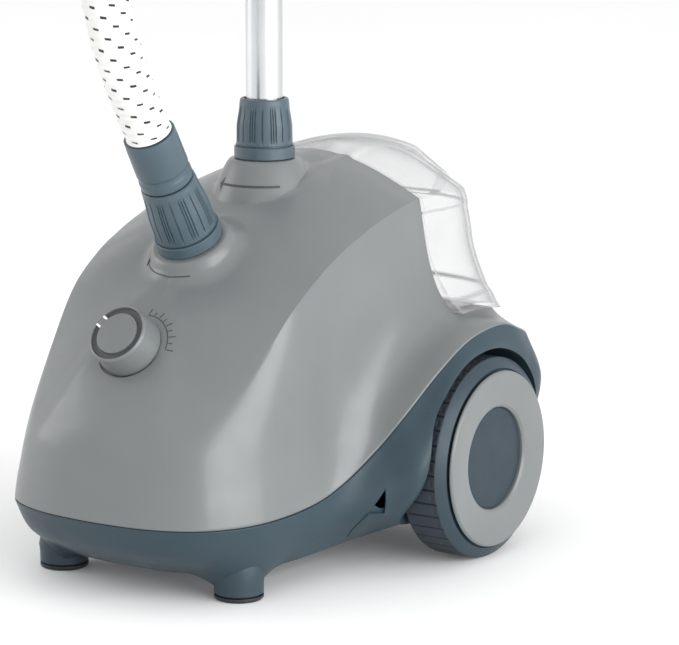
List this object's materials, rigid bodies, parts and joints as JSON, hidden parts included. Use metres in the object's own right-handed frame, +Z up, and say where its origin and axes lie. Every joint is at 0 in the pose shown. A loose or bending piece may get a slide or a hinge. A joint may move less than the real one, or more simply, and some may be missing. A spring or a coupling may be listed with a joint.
{
  "type": "garment steamer",
  "caption": "Upright garment steamer: wheeled boiler base with lift-off clear water tank and dial, telescopic pole with clothes hanger, steam hose and hand-held steam head.",
  "frame": {"origin": "on the floor, in the middle of the object seen from above", "axes": "+Z up, the front with the dial and the two feet faces -Y, +X to the right seen from the front"},
  "size_m": [0.419, 0.357, 1.6535],
  "materials": {
    "shell_grey": "gloss",
    "slate": "satin",
    "tyre_slate": "matte",
    "cap_slate": "matte",
    "dark": "matte",
    "clear_tank": "clear",
    "steel": "brushed",
    "aluminium": "satin",
    "hose_white": "woven",
    "brass": "satin",
    "nylon": "matte"
  },
  "bodies": {
    "base": {"upper_shell": "shell_grey", "lower_chassis": "slate", "foot_pad_left": "dark", "foot_pad_right": "dark", "chassis_screw_1": "steel", "chassis_screw_2": "steel", "chassis_screw_3": "steel", "chassis_screw_4": "steel", "drain_plug": "dark", "cord_gland": "dark", "pole_socket": "slate", "hose_socket": "slate", "boiler": "aluminium", "heating_element": "steel", "thermostat": "brass", "thermal_fuse": "nylon", "steam_tube": "nylon", "inlet_valve": "dark", "water_tube": "nylon", "terminal_block": "nylon", "control_switch": "nylon", "wheel_axle": "steel", "pole_tube_1": "aluminium", "pole_clamp_1": "dark", "hose_cuff": "slate", "steam_hose": "hose_white"},
    "wheel_left": {"tyre_left": "tyre_slate", "hub_disc_left": "shell_grey", "hub_cap_left": "cap_slate"},
    "wheel_right": {"tyre_right": "tyre_slate", "hub_disc_right": "shell_grey", "hub_cap_right": "cap_slate"},
    "dial": {"dial_knob": "shell_grey", "dial_ring": "dark", "dial_shaft": "brass"},
    "pole_lock": {"pole_collar": "slate"},
    "hose_lock": {"hose_collar": "slate"},
    "tank": {"water_tank": "clear_tank"},
    "tank_closure": {"tank_cap": "dark"},
    "tank_plunger": {"tank_valve": "steel"},
    "pole_second": {"pole_tube_2": "aluminium", "pole_clamp_2": "dark"},
    "pole_third": {"pole_tube_3": "aluminium", "pole_clamp_3": "dark"},
    "pole_top": {"pole_tube_4": "aluminium", "pole_sleeve": "dark", "head_cradle": "dark", "hanger_hub": "slate", "hanger_arm_left": "slate", "hanger_arm_right": "slate", "trouser_bar": "steel", "garment_hook": "dark"},
    "lever_low": {"clamp_lever_1": "slate"},
    "lever_middle": {"clamp_lever_2": "slate"},
    "lever_high": {"clamp_lever_3": "slate"},
    "head": {"head_shell": "slate", "steam_plate": "steel", "handle_grip": "slate", "hang_loop": "slate"}
  },
  "joints": [
    {"name": "wheel_left_spin", "type": "hinge", "parent": "base", "child": "wheel_left", "pos_m": [0, 0.0675, 0.068], "axis": [1, 0, 0], "continuous": true},
    {"name": "wheel_right_spin", "type": "hinge", "parent": "base", "child": "wheel_right", "pos_m": [0, 0.0675, 0.068], "axis": [1, 0, 0], "continuous": true},
    {"name": "dial_turn", "type": "hinge", "parent": "base", "child": "dial", "pos_m": [0, -0.1296, 0.159], "axis": [0, -0.7828, 0.6222], "range_deg": [-150, 0]},
    {"name": "pole_lock_turn", "type": "hinge", "parent": "base", "child": "pole_lock", "pos_m": [0, 0.0191, 0.2655], "axis": [0, 0, 1], "range_deg": [0, 60]},
    {"name": "hose_lock_turn", "type": "hinge", "parent": "base", "child": "hose_lock", "pos_m": [0, -0.0659, 0.2218], "axis": [0, -0.5031, 0.8642], "range_deg": [0, 60]},
    {"name": "tank_lift", "type": "slide", "parent": "base", "child": "tank", "axis": [0, 0, 1], "range_m": [0, 0.12]},
    {"name": "tank_cap_turn", "type": "hinge", "parent": "tank", "child": "tank_closure", "pos_m": [0, 0.122, 0.161], "axis": [0, 0, 1], "range_deg": [0, 180]},
    {"name": "tank_valve_press", "type": "slide", "parent": "tank_closure", "child": "tank_plunger", "axis": [0, 0, 1], "range_m": [0, 0.003], "stiffness_N_per_m": 200, "springref_m": -0.002},
    {"name": "pole_extend", "type": "slide", "parent": "base", "child": "pole_top", "axis": [0, 0, 1], "range_m": [-0.54, 0], "deforming": ["steam_hose"]},
    {"name": "pole_second_slide", "type": "slide", "parent": "base", "child": "pole_second", "axis": [0, 0, 1], "range_m": [-0.18, 0]},
    {"name": "pole_third_slide", "type": "slide", "parent": "base", "child": "pole_third", "axis": [0, 0, 1], "range_m": [-0.36, 0]},
    {"name": "lever_low_open", "type": "hinge", "parent": "base", "child": "lever_low", "pos_m": [-0.022, 0.0191, 0.62], "axis": [0, 0, 1], "range_deg": [-70, 0]},
    {"name": "lever_middle_open", "type": "hinge", "parent": "pole_second", "child": "lever_middle", "pos_m": [-0.021, 0.0191, 0.918], "axis": [0, 0, 1], "range_deg": [-70, 0]},
    {"name": "lever_high_open", "type": "hinge", "parent": "pole_third", "child": "lever_high", "pos_m": [-0.02, 0.0191, 1.228], "axis": [0, 0, 1], "range_deg": [-70, 0]},
    {"name": "head_lift", "type": "slide", "parent": "pole_top", "child": "head", "axis": [0, 0, 1], "range_m": [0, 0.05]}
  ],
  "couplings": [
    {"joint": "pole_second_slide", "follows": "pole_extend", "ratio": 0.33333},
    {"joint": "pole_third_slide", "follows": "pole_extend", "ratio": 0.66667}
  ]
}
